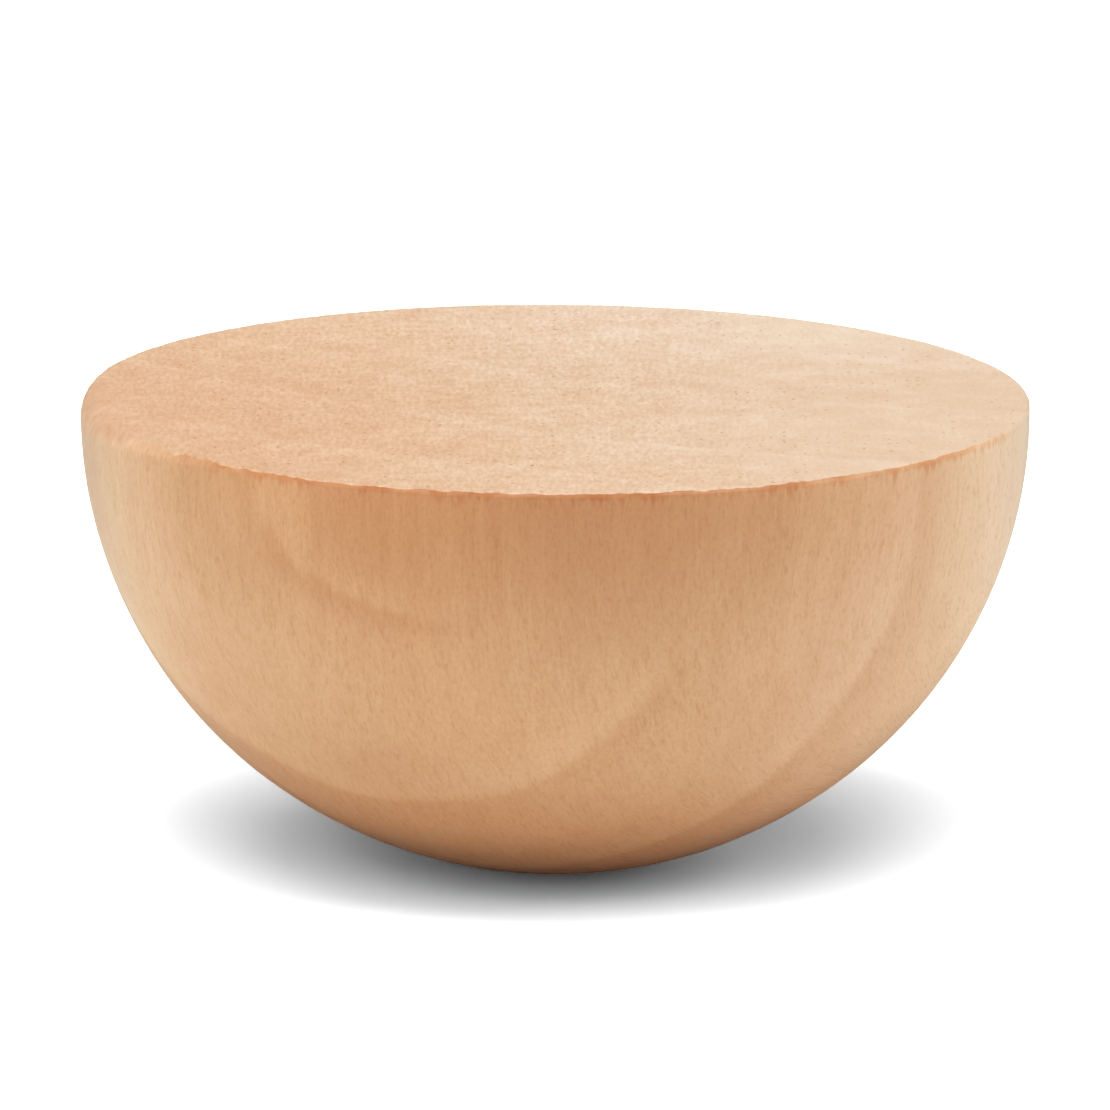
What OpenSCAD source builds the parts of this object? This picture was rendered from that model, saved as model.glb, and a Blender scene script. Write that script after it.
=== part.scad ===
// Split wooden ball: a turned solid hardwood ball sawn in half through its
// centre, standing on its dome with the sawn face up and level.
// Millimetres, +Z up. The origin is the middle of the small flat that the
// lathe leaves at the pole of the dome, where the piece rests.

/* [Ball] */
// Diameter of the turned ball
ball_d = 76.2; // [12:0.1:120]
// Diameter of the flat at the pole, where the ball was parted off and sanded
parting_flat_d = 6; // [1:0.5:12]

/* [Split] */
// Height of the piece, from the parting flat to the sawn face
half_h = 38; // [8:0.1:60]
// Radius of the sanded break where the sawn face meets the dome
rim_break_r = 0.4; // [0.1:0.05:2]

/* [Hidden] */
$fn = 180;

ball_r = ball_d / 2;
// Centre of the ball on the turning axis, a little under its radius above the flat
ball_z = sqrt(pow(ball_r, 2) - pow(parting_flat_d / 2, 2));
// The break is an arc tangent to both the sawn face and the ball
break_z = half_h - rim_break_r;
break_x = sqrt(pow(ball_r - rim_break_r, 2) - pow(break_z - ball_z, 2));

// Half of the section through the turning axis: the ball's disc between the
// parting flat and the saw cut
module sawn_section() {
    intersection() {
        translate([0, ball_z]) circle(r = ball_r);
        square([ball_r, half_h]);
    }
}

// What the sanding takes off the section's corner: the wedge between the lines
// from the break's centre square to the two surfaces, less the break's own disc
module sanded_corner() {
    break_centre = [break_x, break_z];
    outward = [break_x, break_z - ball_z] / (ball_r - rim_break_r);
    // Far enough out to clear the corner from any break
    reach = 3 * rim_break_r;
    difference() {
        polygon([
            break_centre,
            break_centre + [0, reach],
            break_centre + [reach, reach],
            break_centre + reach * outward
        ]);
        translate(break_centre) circle(r = rim_break_r);
    }
}

// The whole piece is one solid of wood, turned, sawn and sanded
module half_ball() {
    color("burlywood")
        rotate_extrude()
            difference() {
                sawn_section();
                sanded_corner();
            }
}

half_ball();
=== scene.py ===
# Split wooden ball: a turned ball of bare wood sawn in half, standing on its dome with
# the sawn face up. This script gives the solid its surface, wood, studio and camera.
# Metres, +Z up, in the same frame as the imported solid.

import math

import bpy
import numpy as np
from mathutils import Matrix, Vector, noise


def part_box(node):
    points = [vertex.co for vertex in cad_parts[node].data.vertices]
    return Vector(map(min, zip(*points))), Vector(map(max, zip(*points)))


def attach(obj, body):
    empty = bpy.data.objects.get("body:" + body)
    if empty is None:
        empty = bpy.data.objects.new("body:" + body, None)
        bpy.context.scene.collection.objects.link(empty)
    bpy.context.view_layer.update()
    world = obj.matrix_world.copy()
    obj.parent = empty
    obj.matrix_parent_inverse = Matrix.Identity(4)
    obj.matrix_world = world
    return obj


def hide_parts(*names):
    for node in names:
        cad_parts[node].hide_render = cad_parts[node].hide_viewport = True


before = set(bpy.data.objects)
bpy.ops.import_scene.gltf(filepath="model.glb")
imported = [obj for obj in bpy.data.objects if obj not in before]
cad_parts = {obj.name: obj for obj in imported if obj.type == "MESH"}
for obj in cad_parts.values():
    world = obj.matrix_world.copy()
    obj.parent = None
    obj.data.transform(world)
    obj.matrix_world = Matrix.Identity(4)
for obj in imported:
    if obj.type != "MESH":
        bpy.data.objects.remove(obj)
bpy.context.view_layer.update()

MM = 0.001

# The piece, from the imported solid
NODE = "half_ball"
box_low, box_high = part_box(NODE)
FACE_Z = box_high[2]
BALL_R = (box_high[0] - box_low[0]) / 2
PARTING_FLAT_R = 3 * MM
# How far the sanding eased the parting flat's corner
FLAT_EASE = 0.02 * MM

# The dome as the photograph shows it: an ellipse within 0.3 mm of the solid's true ball,
# a little slimmer at the rim and fuller at the shoulder
DOME_R = 0.995 * BALL_R
DOME_MIDDLE_Z = FACE_Z - 0.95 * MM
DOME_DEPTH = DOME_MIDDLE_Z / math.sqrt(1 - (PARTING_FLAT_R / DOME_R) ** 2)

# The mesh: square rings of points round the axis, on the sawn face and on the dome
RINGS = 111
BREAK_RINGS = 7

# The sanded break of the rim, and how it wanders round the piece, slowly and quickly
BREAK_R = 0.40 * MM
BREAK_R_LEAST = 0.16 * MM
SOFT_BREAK_R = 1.8 * MM
SOFT_BREAK_AT = math.radians(192)
SOFT_BREAK_SPREAD = math.radians(17)
SLOW_WANDER = 0.03 * MM
QUICK_WANDER = 0.04 * MM

# The size and the height of the face's saw and sanding marks and of the dome's waviness
FINE_MARKS = (0.7 * MM, 0.035 * MM)
BROAD_MARKS = (9 * MM, 0.03 * MM)
DOME_WAVINESS = (14 * MM, 0.06 * MM)

# The camera, fitted to the outline of the dome and the sawn face in the photograph
PHOTO_PX = 1110
FACE_CENTRE_PX = (555.3, 396.9)
BALL_R_PX = 477.0
CAMERA_RADII_AWAY = 50
CAMERA_ELEVATION = math.radians(11.95)
CAMERA_ROLL = math.radians(0.334)
SENSOR_MM = 36

# The floor: how far it reaches, and its level for bounced light, to the camera, and in
# anything shiny or clear
FLOOR_REACH = 6.0
FLOOR_COLOUR = 1.15
FLOOR_COLOUR_SEEN = 2.3
FLOOR_COLOUR_MIRRORED = 0.55
# The even light of the world on the piece and the floor
WORLD_LIGHT = 0.02

# The soft lamps round the piece. Each has its angle round the piece from the camera's side,
# positive to the right, its height above the floor in degrees, and its radiance, where 1 is white.
LAMP_AWAY = 1.2
LAMP_R = 0.4
LAMPS = {
    "low_front": (0, 25, 1.63),
    "low_front_left": (-45, 25, 1.38),
    "low_left": (-90, 25, 0.37),
    "low_right": (90, 25, 2.08),
    "front": (0, 50, 0.95),
    "front_left": (-45, 50, 1.29),
    "front_right": (45, 50, 1.85),
    "left": (-90, 50, 0.45),
    "high_front": (0, 70, 0.85),
    "high_front_left": (-45, 70, 2.36),
    "high_front_right": (45, 70, 1.48),
}

# The wood. Lengths here are in millimetres, and +Z is along the fibres. The middle of the
# tree lay behind the piece and to its right. Its year rings end at these distances from its
# middle, each with a dark line as strong as its number says, and the next one starts pale.
PITH = (41.0, 63.0, 0.0)
YEAR_RINGS = {49.0: 0.3, 68.0: 0.4, 87.8: 0.95, 101.5: 0.8, 113.6: 1.0, 121.0: 0.6, 131.0: 0.6}
# The width of the step from a dark line to the pale start of the next ring, and how far the
# line and the pale start both fade into their ring
RING_STEP = 0.8
RING_LINE = 4.0
# How far from the pith the rings are laid out
RINGS_OUT_TO = 140.0
# The distance from the pith at which the streaks have their true width round it
TRUE_WIDTH_AT = 90.0
# How far the fibres wander from side to side
FIBRE_WANDER = 5.0

# Broad patches of the dome as the camera sees it. Each has its middle, across and up, and how
# far it reaches both ways. This is the dark one under the front of the rim
DARK_PATCH = (2.0, 39.0, 41.0, 18.0)
# A pale one at the left
PALE_PATCH = (-27.0, 23.0, 17.0, 18.0)
# One where the rings fade
FADED_RINGS = (12.0, 31.0, 9.0, 16.0)
# A broad one at the front that is a little darker: painted shade
FRONT_PAINTED_SHADE = (7.0, 36.0, 22.0, 26.0)
# The inside of the small U that a year ring makes high at the left
SMALL_U = (-7.5, 37.0, 16.3, 10.2)

# Colours at tone 0. One tone darker multiplies a colour by TONE.
DOME_COLOUR = (0.621, 0.342, 0.163)
FACE_LEFT_COLOUR = (0.683, 0.415, 0.242)
FACE_RIGHT_COLOUR = (0.735, 0.535, 0.369)
TONE = (0.89, 0.81, 0.735)
PALEST_TONE = -3
DARKEST_TONE = 5

# How far the band that the saw bruised reaches down from the sawn face, at least and at most
BRUISE_DEPTHS = (0.65, 2.1)
# Tints that multiply the dome's colour. This one is for the bruised band
RIM_TINT = (0.88, 0.67, 0.53)
# For the low sides and the low back, made paler by painted light
LOW_SIDE_PAINTED_LIGHT_TINT = (1.39, 1.34, 1.22)
# For the broad band above the pole, made a little paler by painted light
LOW_BAND_PAINTED_LIGHT_TINT = (1.025, 1.02, 1.02)
# For the broad patch of painted shade at the front
FRONT_SHADE_TINT = (0.90, 0.90, 0.90)
# For the right side, which is a little cooler
RIGHT_TINT = (0.97, 1.0, 1.07)
# For the pole, where the dome shows end grain, and with painted shade and painted warm bounce light
# from the floor
POLE_SHADE_AND_END_GRAIN_TINT = (0.89, 0.62, 0.44)

DOME_ROUGHNESS = 0.33
FACE_ROUGHNESS = 0.70
BUMP_DEPTH = 0.02 * MM


def smooth_step(x, start, end):
    """0 before start, 1 after end, and a smooth rise between them."""
    t = np.clip((x - start) / (end - start), 0, 1)
    return t * t * (3 - 2 * t)


def ring_grid(rings):
    """A square grid wrapped into rings: each point's ring number and its angle round the axis."""
    side = np.arange(-rings, rings + 1)
    across, along = [a.ravel().astype(float) for a in np.meshgrid(side, side, indexing="ij")]
    ring = np.maximum(abs(across), abs(along))
    flat_side = abs(across) >= abs(along)
    larger = np.where(flat_side, across, along)
    smaller = np.where(flat_side, along, across)
    steep = smaller / np.where(larger == 0, 1, larger)
    angle = np.where(flat_side, steep * math.pi / 4, math.pi / 2 - steep * math.pi / 4)
    return ring, angle + math.pi * (larger < 0)


def waves(angle, cycles, height, seed):
    """Smooth periodic noise round the axis, made of waves with the given numbers of cycles."""
    rng = np.random.default_rng(seed)
    total = np.zeros_like(angle)
    for count in cycles:
        total += rng.normal() * np.cos(count * angle + rng.uniform(0, 2 * math.pi))
    return height * total / math.sqrt(len(cycles) / 2)


def break_radius(angle):
    """Radius of the rim's break: hand-sanded, so it wanders, and it is softest at the left."""
    off = np.abs((angle - SOFT_BREAK_AT + math.pi) % (2 * math.pi) - math.pi)
    soft = np.exp(-0.5 * (off / SOFT_BREAK_SPREAD) ** 2)
    radius = BREAK_R + (SOFT_BREAK_R - BREAK_R) * soft
    radius = radius + waves(angle, range(5, 60, 3), SLOW_WANDER, 11)
    radius = radius + waves(angle, range(60, 260, 5), QUICK_WANDER, 12)
    return np.maximum(radius, BREAK_R_LEAST)


def break_centre(break_r):
    """Distance from the axis and height of the middle of the break's arc."""
    height = FACE_Z - break_r
    above_middle = (height - DOME_MIDDLE_Z) / DOME_DEPTH
    return DOME_R * np.sqrt(1 - above_middle**2) - break_r, height


def sawn_profile(ring, break_r):
    """Distance from the axis and height of the sawn face's points, out to the middle of the break."""
    flat_rings = RINGS - BREAK_RINGS
    centre_out, centre_z = break_centre(break_r)
    turn = np.clip((ring - flat_rings) / BREAK_RINGS, 0, 1) * math.pi / 4
    outward = centre_out * np.minimum(ring / flat_rings, 1) + break_r * np.sin(turn)
    return outward, centre_z + break_r * np.cos(turn)


def dome_profile(ring, break_r):
    """Distance from the axis and height of the dome's points, out to the middle of the break."""
    dome_rings = RINGS - BREAK_RINGS
    centre_out, centre_z = break_centre(break_r)
    polar = math.pi / 2 + np.arcsin((centre_z - DOME_MIDDLE_Z) / DOME_DEPTH)
    polar = polar * np.minimum(ring / dome_rings, 1)
    turn = np.clip((ring - dome_rings) / BREAK_RINGS, 0, 1) * math.pi / 4
    on_dome = ring <= dome_rings
    outward = np.where(on_dome, DOME_R * np.sin(polar), centre_out + break_r * np.cos(turn))
    ball_height = DOME_MIDDLE_Z - DOME_DEPTH * np.cos(polar)
    height = np.where(on_dome, ball_height, centre_z + break_r * np.sin(turn))
    # The parting flat, with its corner eased by the sanding
    height = (height + np.sqrt(height**2 + FLAT_EASE**2)) / 2
    return outward, height


def lumps(points, size, height, seed):
    """Smooth noise at the points, with lumps of the given size."""
    start = Vector((seed * 13.7, seed * 7.3, seed * 3.1))
    return height * np.array([noise.noise(Vector(p) / size + start) for p in points])


def half_ball_points(ring, angle):
    """The points of the sawn face and those of the dome, which meet in the last ring."""
    break_r = break_radius(angle)
    sides = []
    for profile in (sawn_profile, dome_profile):
        outward, height = profile(ring, break_r)
        sides.append(np.stack([outward * np.cos(angle), outward * np.sin(angle), height], 1))
    sawn, dome = sides

    # Saw and sanding marks on the face, and the dome's slight waviness from sanding
    inside = 1 - smooth_step(ring, RINGS - BREAK_RINGS - 3, RINGS)
    sawn[:, 2] -= inside * np.abs(lumps(sawn, *FINE_MARKS, 1))
    sawn[:, 2] -= inside * np.abs(lumps(sawn, *BROAD_MARKS, 2))
    away = (dome - (0, 0, DOME_MIDDLE_Z)) / BALL_R
    off_floor = smooth_step(dome[:, 2], 0.3 * MM, 3 * MM)
    sanding = lumps(dome, *DOME_WAVINESS, 3) * off_floor * inside
    dome += away * sanding[:, None]
    return sawn, dome


def half_ball_mesh():
    """The surface of the piece: quads in rings on both sides, joined along the rim."""
    ring, angle = ring_grid(RINGS)
    sawn, dome = half_ball_points(ring, angle)
    rim = ring == RINGS
    count = len(ring)

    # The dome's points follow the face's, and use its points along the rim
    dome_index = np.zeros(count, int)
    dome_index[rim] = np.flatnonzero(rim)
    dome_index[~rim] = count + np.arange(np.count_nonzero(~rim))
    points = np.concatenate([sawn, dome[~rim]])
    corner = np.arange(count).reshape(2 * RINGS + 1, 2 * RINGS + 1)
    round_quad = (corner[:-1, :-1], corner[1:, :-1], corner[1:, 1:], corner[:-1, 1:])
    quads = np.stack(round_quad, -1).reshape(-1, 4)
    faces = np.concatenate([quads, dome_index[quads[:, ::-1]]])
    mesh = bpy.data.meshes.new("turned_half_ball")
    mesh.from_pydata(points.tolist(), [], faces.tolist())
    mesh.polygons.foreach_set("use_smooth", [True] * len(mesh.polygons))
    mesh.update()
    return mesh


def new_tree(name):
    """A new material with an empty node tree."""
    material = bpy.data.materials.new(name)
    material.use_nodes = True
    material.node_tree.nodes.clear()
    return material, material.node_tree


def put(tree, value, socket):
    """Links a signal to a socket, or sets the socket to a plain value."""
    if isinstance(value, bpy.types.NodeSocket):
        tree.links.new(value, socket)
    else:
        socket.default_value = value


def add(tree, kind, inputs=None, **settings):
    """Adds one node, with its settings, and sets or links its inputs."""
    node = tree.nodes.new(kind)
    for name, value in settings.items():
        setattr(node, name, value)
    for key, value in (inputs or {}).items():
        put(tree, value, node.inputs[key])
    return node


def calc(tree, operation, a, b=0.0, c=0.0):
    """One step of arithmetic on numbers."""
    return add(tree, "ShaderNodeMath", {0: a, 1: b, 2: c}, operation=operation).outputs[0]


def shift(tree, operation, a, b=(0, 0, 0), c=(0, 0, 0)):
    """One step of arithmetic on places."""
    return add(tree, "ShaderNodeVectorMath", {0: a, 1: b, 2: c}, operation=operation).outputs[0]


def numbers_of(tree, place):
    """The three numbers of a place."""
    return add(tree, "ShaderNodeSeparateXYZ", {0: place}).outputs


def rise(tree, value, start, end, low=0.0, high=1.0):
    """Goes smoothly from low to high as the value goes from start to end."""
    inputs = {0: value, 1: start, 2: end, 3: low, 4: high}
    return add(tree, "ShaderNodeMapRange", inputs, interpolation_type="SMOOTHSTEP").outputs[0]


def cloud(tree, place, per_mm, seed, detail=0.0, colour=False):
    """Soft noise round 0.5, with the given number of lumps to a millimetre along each axis."""
    stretched = shift(tree, "MULTIPLY_ADD", place, per_mm, (seed * 17.3, seed * 5.9, seed * 11.1))
    node = add(tree, "ShaderNodeTexNoise", {"Vector": stretched, "Scale": 1.0, "Detail": detail})
    return node.outputs["Color" if colour else "Fac"]


def total(tree, parts):
    """The sum of signals, each with its middle value taken off and then times its strength."""
    result = -sum(middle * strength for signal, middle, strength in parts)
    for signal, middle, strength in parts:
        result = calc(tree, "MULTIPLY_ADD", signal, strength, result)
    return result


def product(tree, first, *others):
    """Signals multiplied with each other."""
    result = first
    for signal in others:
        result = calc(tree, "MULTIPLY", result, signal)
    return result


def scaled(tree, signal, strength):
    """A signal round 0.5 brought round 0, and as strong as another signal says."""
    return product(tree, calc(tree, "SUBTRACT", signal, 0.5), strength)


def ramp(tree, value, stops):
    """Goes from colour to colour as the value passes the stops, each a place and its colour."""
    node = add(tree, "ShaderNodeValToRGB", {"Fac": value})
    elements = node.color_ramp.elements
    while len(elements) < len(stops):
        elements.new(0.5)
    for element, (place, colour) in zip(elements, stops):
        element.position = place
        element.color = (*colour, 1)
    return node.outputs[0]


def mixed(tree, share, a, b, blend_type="MIX"):
    """Colour a where share is 0, and colour b where it is 1."""
    node = add(tree, "ShaderNodeMix", {"Factor": share}, data_type="RGBA", blend_type=blend_type)
    first, second = [socket for socket in node.inputs if socket.type == "RGBA"]
    put(tree, a, first)
    put(tree, b, second)
    return next(socket for socket in node.outputs if socket.type == "RGBA")


def mixed_number(tree, share, a, b):
    """Number a where share is 0, and number b where it is 1."""
    return add(tree, "ShaderNodeMix", {"Factor": share, "A": a, "B": b}, data_type="FLOAT").outputs[0]


def tinted(tree, share, colour, tint):
    """A colour multiplied by a tint, as far as share says."""
    return mixed(tree, share, colour, (*tint, 1), "MULTIPLY")


def toned(tree, tone, colour):
    """A colour made paler or darker by a tone."""
    span = DARKEST_TONE - PALEST_TONE
    stops = []
    for step in range(span + 1):
        stops.append((step / span, [c * t ** (step + PALEST_TONE) for c, t in zip(colour, TONE)]))
    return ramp(tree, calc(tree, "MULTIPLY_ADD", tone, 1 / span, -PALEST_TONE / span), stops)


def off_middle(tree, wood, patch):
    """How far a point of the dome is from a patch's middle, where 1 is the patch's edge."""
    middle_x, middle_z, reach_x, reach_z = patch
    off_x = calc(tree, "DIVIDE", calc(tree, "SUBTRACT", wood.x, middle_x), reach_x)
    off_z = calc(tree, "DIVIDE", calc(tree, "SUBTRACT", wood.z, middle_z), reach_z)
    squares = calc(tree, "MULTIPLY_ADD", off_x, off_x, product(tree, off_z, off_z))
    return calc(tree, "SQRT", squares)


def in_patch(tree, wood, patch, full_to=0.0):
    """1 in a patch's middle, and 0 from its edge on."""
    return rise(tree, off_middle(tree, wood, patch), full_to, 1, 1, 0)


def dots(tree, place, per_mm, size, share_left_out):
    """Small dots scattered on the level plane, about one to a cell, some of them left out."""
    inputs = {"Vector": shift(tree, "MULTIPLY", place, per_mm), "Scale": 1.0}
    cell = add(tree, "ShaderNodeTexVoronoi", inputs, voronoi_dimensions="2D")
    kind = numbers_of(tree, cell.outputs["Color"])[0]
    inside = rise(tree, cell.outputs["Distance"], 0.5 * size, size, 1.0, 0.0)
    return product(tree, inside, rise(tree, kind, share_left_out, 1.0))


def year_rings(tree, from_pith):
    """0.5 in the middle of a ring, up to 1 in the line at its end, down to 0 where the next starts."""
    places = []
    start = 0
    for end, strength in YEAR_RINGS.items():
        pale, dark = 0.5 - 0.5 * strength, 0.5 + 0.5 * strength
        places += [(start + RING_STEP / 2, pale), (start + RING_LINE, 0.5), (end - RING_LINE, 0.5)]
        places += [(end - RING_STEP / 2, dark)]
        start = end
    stops = [(place / RINGS_OUT_TO, (level, level, level)) for place, level in places]
    return ramp(tree, calc(tree, "DIVIDE", from_pith, RINGS_OUT_TO), stops)


def place_in_tree(tree, place):
    """The distance from the pith, and the place as distance from it, width round it, and height."""
    wander = cloud(tree, place, (0.045, 0.045, 0.02), 1, 1, True)
    reach, middle = (FIBRE_WANDER, FIBRE_WANDER, 0), (-FIBRE_WANDER / 2, -FIBRE_WANDER / 2, 0)
    wander = shift(tree, "MULTIPLY_ADD", wander, reach, middle)
    in_tree = shift(tree, "SUBTRACT", shift(tree, "ADD", place, wander), PITH)
    level = shift(tree, "MULTIPLY", in_tree, (1, 1, 0))
    from_pith = add(tree, "ShaderNodeVectorMath", {0: level}, operation="LENGTH").outputs["Value"]
    across = numbers_of(tree, in_tree)
    round_pith = product(tree, calc(tree, "ARCTAN2", across[1], across[0]), TRUE_WIDTH_AT)
    parts = {0: from_pith, 1: round_pith, 2: numbers_of(tree, place)[2]}
    return from_pith, add(tree, "ShaderNodeCombineXYZ", parts).outputs[0]


class Wood:
    """The point being shaded, in millimetres, and the wood's figure there."""

    def __init__(self, tree):
        metres = add(tree, "ShaderNodeTexCoord").outputs["Object"]
        self.place = shift(tree, "MULTIPLY", metres, (1 / MM, 1 / MM, 1 / MM))
        self.x, self.y, self.z = numbers_of(tree, self.place)
        # 1 on the camera's side of the piece, and 0 behind
        self.front = rise(tree, self.y, -12, 6, 1, 0)
        from_pith, grain = place_in_tree(tree, self.place)
        self.rings = year_rings(tree, from_pith)
        self.figure = cloud(tree, self.place, (0.07, 0.07, 0.018), 2, 1)
        self.streaks = cloud(tree, grain, (0.5, 0.8, 0.03), 3, 1)
        self.fine_streaks = cloud(tree, grain, (2.4, 3.4, 0.24), 4, 1)
        self.flecks = rise(tree, cloud(tree, grain, (0.1, 7.0, 1.5), 5), 0.58, 0.74)
        self.long_flecks = rise(tree, cloud(tree, grain, (0.15, 3.4, 0.7), 6), 0.62, 0.76)


def sawn_share(tree, wood):
    """1 on the sawn face, and 0 below the ragged line that ends it on the rim's break."""
    normal = add(tree, "ShaderNodeNewGeometry").outputs["Normal"]
    up = numbers_of(tree, normal)[2]
    teeth = cloud(tree, wood.place, (0.6, 0.6, 0.2), 12, 2)
    # The line is soft at both ends, where the rim is sanded round
    sanded = calc(tree, "MAXIMUM", rise(tree, wood.x, -37, -30, 1, 0), rise(tree, wood.x, 34, 37.5))
    start = calc(tree, "MULTIPLY_ADD", sanded, -0.74, 0.74)
    end = calc(tree, "MULTIPLY_ADD", sanded, -0.3, 0.94)
    ragged = rise(tree, total(tree, [(up, 0.0, 1.0), (teeth, 0.5, 0.9)]), start, end)
    return calc(tree, "MAXIMUM", ragged, rise(tree, up, 0.95, 0.985))


def small_u(tree, wood):
    """The small U high at the left: the paler wood just inside its line, and the line."""
    off = off_middle(tree, wood, SMALL_U)
    off = total(tree, [(off, 0.0, 1.0), (wood.figure, 0.5, 0.12), (wood.streaks, 0.5, 0.08)])
    left_half = product(tree, rise(tree, wood.x, -14, -5, 1, 0), wood.front)
    inside = product(tree, rise(tree, off, 0.70, 0.94), rise(tree, off, 0.94, 1.0, 1, 0))
    line = product(tree, rise(tree, off, 0.96, 1.03), rise(tree, off, 1.03, 1.22, 1, 0))
    return product(tree, inside, left_half), product(tree, line, left_half)


def dome_tone(tree, wood):
    """How dark the long grain of the dome is, with painted sheen at its left and right edges."""
    inside_u, u_line = small_u(tree, wood)
    dark_patch = product(tree, in_patch(tree, wood, DARK_PATCH), wood.front)
    pale_patch = product(tree, in_patch(tree, wood, PALE_PATCH), rise(tree, wood.y, -6, 12, 1, 0))
    faded = rise(tree, off_middle(tree, wood, FADED_RINGS), 0.5, 1.0, 0.3, 1.1)
    specks = cloud(tree, wood.place, (4.0, 4.0, 3.0), 11, 1)
    return total(tree, [
        (inside_u, 0.0, -0.3),
        (u_line, 0.0, 0.45),
        (dark_patch, 0.0, 2.1),
        (pale_patch, 0.0, -0.85),
        (rise(tree, wood.x, 4, 38), 0.0, -1.2),
        # Paler at the dome's left and right edges, where the camera sees it edge-on: painted sheen
        (rise(tree, wood.x, 28, 38), 0.0, -1.75),
        (rise(tree, wood.x, -36, -26), 1.0, 1.7),
        (scaled(tree, wood.rings, faded), 0.0, 1.0),
        (wood.figure, 0.5, 0.9),
        (wood.streaks, 0.5, 0.85),
        (wood.fine_streaks, 0.5, 0.9),
        (specks, 0.5, 1.1),
        (wood.flecks, 0.1, 0.5),
        (wood.long_flecks, 0.05, 0.35),
    ])


def bruised_band(tree, wood):
    """The bruised band under the rim: ragged below, patchy along it, and sanded off at both ends."""
    depth = calc(tree, "SUBTRACT", FACE_Z / MM, wood.z)
    reach = rise(tree, cloud(tree, wood.place, (1.7, 1.7, 0.12), 7, 2), 0.42, 0.84, *BRUISE_DEPTHS)
    band = rise(tree, calc(tree, "DIVIDE", depth, reach), 0.2, 1.0, 1.0, 0.0)
    patches = rise(tree, cloud(tree, wood.place, (0.40, 0.40, 0.1), 8, 2), 0.33, 0.62, 0.3, 0.95)
    ends = product(tree, rise(tree, wood.x, -34, -24), rise(tree, wood.x, 35, 37.5, 1, 0))
    return product(tree, band, patches, ends)


def dome_colour(tree, wood, bruised):
    """The colour of the dome: its toned wood under all its tints, some of which are painted light and
    shade.
    """
    # Painted light on the low sides and the low back
    low_side_painted_light = product(tree, rise(tree, wood.y, -28, -6), rise(tree, wood.z, 12, 36, 1.0, 0.15))
    low_side_painted_light = product(tree, low_side_painted_light, rise(tree, wood.z, 2, 9))
    # Painted light in a broad band above the pole
    low_band_painted_light = product(tree, rise(tree, wood.z, 5.5, 10), rise(tree, wood.z, 16, 26, 1, 0))
    # A broad patch of painted shade at the front
    front_painted_shade = product(tree, in_patch(tree, wood, FRONT_PAINTED_SHADE, 0.2), wood.front)
    right_side = rise(tree, wood.x, 5, 32)
    # Darker and warmer towards the pole: end grain, with painted shade and painted warm bounce light
    # near the floor
    pole = rise(tree, wood.z, 0.0, 16.0, 1.0, 0.0)
    colour = toned(tree, dome_tone(tree, wood), DOME_COLOUR)
    colour = tinted(tree, bruised, colour, RIM_TINT)
    colour = tinted(tree, low_side_painted_light, colour, LOW_SIDE_PAINTED_LIGHT_TINT)
    colour = tinted(tree, low_band_painted_light, colour, LOW_BAND_PAINTED_LIGHT_TINT)
    colour = tinted(tree, front_painted_shade, colour, FRONT_SHADE_TINT)
    colour = tinted(tree, right_side, colour, RIGHT_TINT)
    return tinted(tree, pole, colour, POLE_SHADE_AND_END_GRAIN_TINT)


def face_tone(tree, wood, fuzz):
    """How dark the end grain of the sawn face is."""
    mottle = cloud(tree, wood.place, (0.28, 0.28, 0.1), 10, 2)
    rays = cloud(tree, wood.place, (0.25, 1.1, 0.1), 13, 1)
    ray_strength = rise(tree, wood.x, -15, 20, 0.8, 0.25)
    pores = dots(tree, wood.place, (0.6, 0.3, 0), 0.095, 0.6)
    clusters = rise(tree, cloud(tree, wood.place, (0.12, 0.12, 0.1), 14, 1), 0.42, 0.62, 0.25, 1.0)
    small_pores = product(tree, dots(tree, wood.place, (1.1, 0.7, 0), 0.18, 0.4), clusters)
    # The sanding wore the fuzz off where the rim is soft
    worn = rise(tree, wood.x, -37.5, -33, 0.4, 1.0)
    fuzz_strength = product(tree, rise(tree, wood.x, 5, 25, 2.8, 0.85), worn)
    return total(tree, [
        (wood.rings, 0.5, 0.5),
        (mottle, 0.5, 1.65),
        (scaled(tree, rays, ray_strength), 0.0, 1.0),
        (scaled(tree, fuzz, fuzz_strength), 0.0, 1.0),
        (pores, 0.0, 2.0),
        (small_pores, 0.0, 2.2),
        (rise(tree, wood.y, 0, 34), 0.0, -0.75),
    ])


def face_colour(tree, wood, fuzz):
    """The colour of the sawn face, with a blush that fades unevenly to the right."""
    tone = face_tone(tree, wood, fuzz)
    face_left = toned(tree, tone, FACE_LEFT_COLOUR)
    face_right = toned(tree, tone, FACE_RIGHT_COLOUR)
    blush = calc(tree, "MULTIPLY_ADD", wood.figure, 30.0, wood.x)
    return mixed(tree, rise(tree, blush, -14, 38), face_left, face_right)


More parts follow.
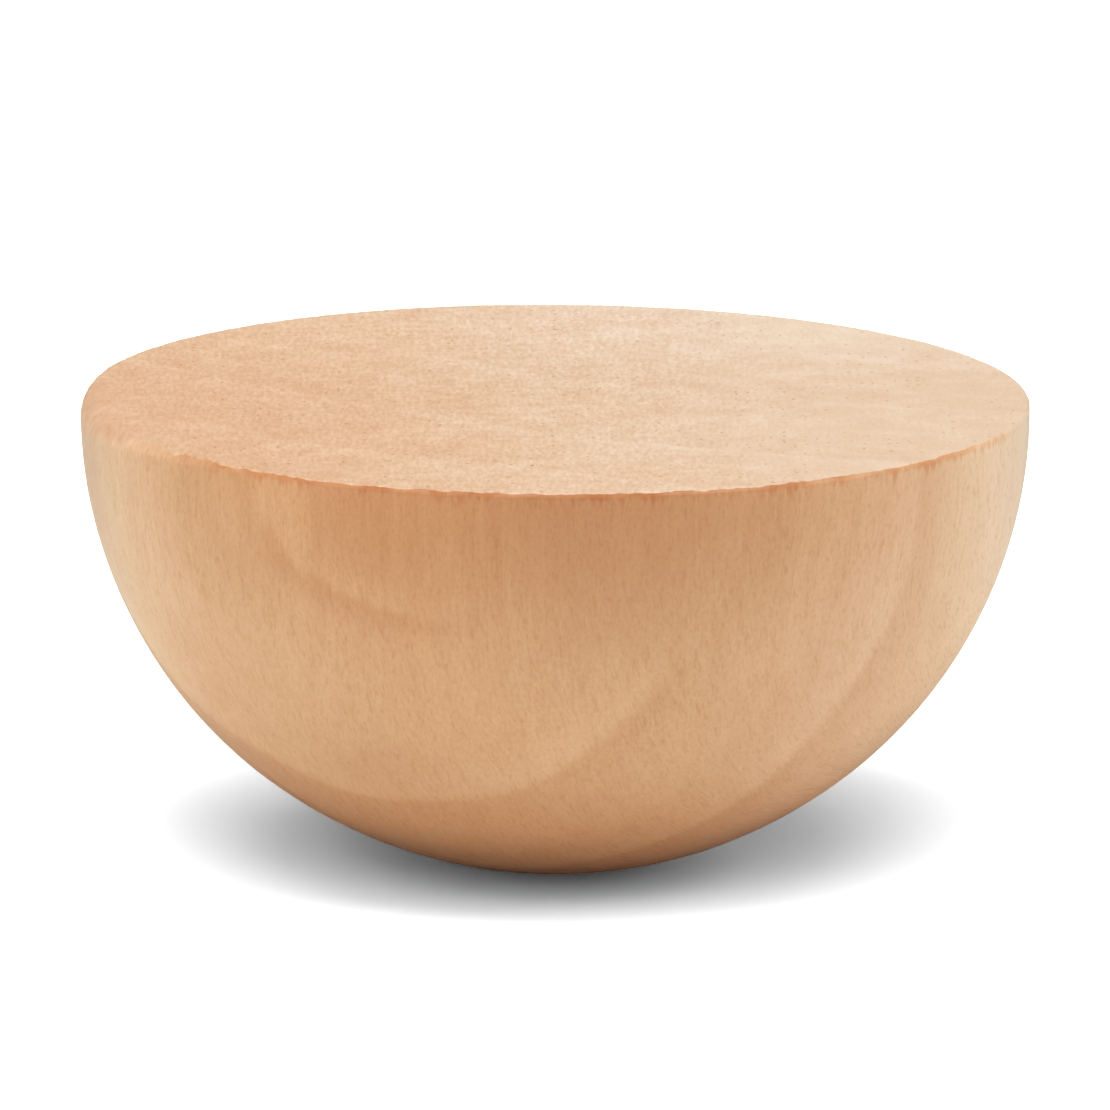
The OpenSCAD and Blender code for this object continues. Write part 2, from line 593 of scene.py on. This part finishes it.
def wood_material():
    """Bare sanded wood, solid through and through: long grain on the dome, end grain on the face."""
    material, tree = new_tree("bare_wood")
    wood = Wood(tree)
    sawn = sawn_share(tree, wood)
    bruised = bruised_band(tree, wood)
    # The fuzz of the end grain. Its z is such that the level face isn't on a layer of the noise
    fuzz = cloud(tree, wood.place, (3.2, 0.78, 0.9855), 9, 3)

    rough_parts = [(wood.figure, 0.5, 0.2), (wood.flecks, 0.1, 0.1), (bruised, 0.0, 0.5)]
    dome_roughness = calc(tree, "ADD", total(tree, rough_parts), DOME_ROUGHNESS)
    face_roughness = calc(tree, "ADD", total(tree, [(fuzz, 0.5, 0.3)]), FACE_ROUGHNESS)
    height = mixed_number(tree, sawn, product(tree, wood.fine_streaks, 0.4), fuzz)
    bump = add(tree, "ShaderNodeBump", {"Strength": 1.0, "Distance": BUMP_DEPTH, "Height": height})
    dome, face = dome_colour(tree, wood, bruised), face_colour(tree, wood, fuzz)
    shader = add(tree, "ShaderNodeBsdfPrincipled", {
        "Base Color": mixed(tree, sawn, dome, face),
        "Roughness": mixed_number(tree, sawn, dome_roughness, face_roughness),
        "Specular IOR Level": 0.5,
        "Normal": bump.outputs[0],
    })
    add(tree, "ShaderNodeOutputMaterial", {"Surface": shader.outputs[0]})
    return material


def ray_kinds(tree):
    """Whether a ray comes from the camera, and whether a shiny or clear surface passed it on."""
    path = add(tree, "ShaderNodeLightPath").outputs
    passed_on = calc(tree, "MAXIMUM", path["Is Glossy Ray"], path["Is Transmission Ray"])
    return path["Is Camera Ray"], passed_on


def make_floor():
    """A plain floor that looks white, with a level of its own for each kind of ray."""
    material, tree = new_tree("white_floor")
    seen, mirrored = ray_kinds(tree)
    level = mixed_number(tree, mirrored, FLOOR_COLOUR, FLOOR_COLOUR_MIRRORED)
    level = mixed_number(tree, seen, level, FLOOR_COLOUR_SEEN)
    shader = add(tree, "ShaderNodeBsdfDiffuse", {"Color": level})
    add(tree, "ShaderNodeOutputMaterial", {"Surface": shader.outputs[0]})
    mesh = bpy.data.meshes.new("floor")
    reach = FLOOR_REACH
    corners = [(-reach, -reach, 0), (reach, -reach, 0), (reach, reach, 0), (-reach, reach, 0)]
    mesh.from_pydata(corners, [], [(0, 1, 2, 3)])
    floor = bpy.data.objects.new("floor", mesh)
    floor.data.materials.append(material)
    bpy.context.collection.objects.link(floor)


def make_world():
    """A little even light from all round, in a world that looks white."""
    world = bpy.data.worlds.new("studio")
    world.use_nodes = True
    tree = world.node_tree
    tree.nodes.clear()
    strength = mixed_number(tree, calc(tree, "MAXIMUM", *ray_kinds(tree)), WORLD_LIGHT, 1.0)
    background = add(tree, "ShaderNodeBackground", {"Color": (1, 1, 1, 1), "Strength": strength})
    add(tree, "ShaderNodeOutputWorld", {"Surface": background.outputs[0]})
    bpy.context.scene.world = world


def make_lamps():
    """Round soft lamps, each turned to the piece."""
    aim = Vector((0, 0, FACE_Z / 2))
    for name, (azimuth, elevation, radiance) in LAMPS.items():
        azimuth, elevation = math.radians(azimuth), math.radians(elevation)
        out = Vector((math.sin(azimuth), -math.cos(azimuth), 0)) * math.cos(elevation)
        out.z = math.sin(elevation)
        lamp = bpy.data.lights.new(name, "AREA")
        lamp.shape = "DISK"
        lamp.size = 2 * LAMP_R
        # Shadow rays alone find the lamps, so the piece still shades the floor from them
        lamp.cycles.use_multiple_importance_sampling = False
        # An even lamp gives off its radiance times pi times its area
        lamp.energy = radiance * math.pi * math.pi * LAMP_R**2
        obj = bpy.data.objects.new(name, lamp)
        turn = (-out).to_track_quat("-Z", "Y")
        obj.matrix_world = Matrix.Translation(out * LAMP_AWAY + aim) @ turn.to_matrix().to_4x4()
        obj.visible_camera = False
        bpy.context.collection.objects.link(obj)


def make_camera():
    """The camera at the photograph's angle: the face's centre lands on its pixel, at its size."""
    distance = CAMERA_RADII_AWAY * BALL_R
    focal_px = BALL_R_PX * CAMERA_RADII_AWAY
    forward = Vector((0, math.cos(CAMERA_ELEVATION), -math.sin(CAMERA_ELEVATION)))
    roll = Matrix.Rotation(-CAMERA_ROLL, 3, forward)
    right = roll @ Vector((1, 0, 0))
    up = right.cross(forward)
    right_by = (FACE_CENTRE_PX[0] - PHOTO_PX / 2) / focal_px
    down_by = (FACE_CENTRE_PX[1] - PHOTO_PX / 2) / focal_px
    centre = Vector((0, 0, FACE_Z))
    place = centre - distance * (forward + right * right_by - up * down_by)
    camera = bpy.data.objects.new("camera", bpy.data.cameras.new("camera"))
    turn = Matrix((right, up, -forward)).transposed()
    camera.matrix_world = Matrix.Translation(place) @ turn.to_4x4()
    camera.data.sensor_width = SENSOR_MM
    camera.data.lens = focal_px * SENSOR_MM / PHOTO_PX
    camera.data.clip_start = 0.01
    camera.data.clip_end = 100
    bpy.context.collection.objects.link(camera)
    bpy.context.scene.camera = camera


half_ball = bpy.data.objects.new("turned_half_ball", half_ball_mesh())
half_ball.data.materials.append(wood_material())
# The floor's shadow stays a clean grey, as in the photograph, with no brown light in it
half_ball.visible_diffuse = False
bpy.context.collection.objects.link(half_ball)
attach(half_ball, "root")
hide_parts(NODE)

make_floor()
make_world()
make_lamps()
make_camera()
bpy.context.scene.view_settings.view_transform = "Standard"
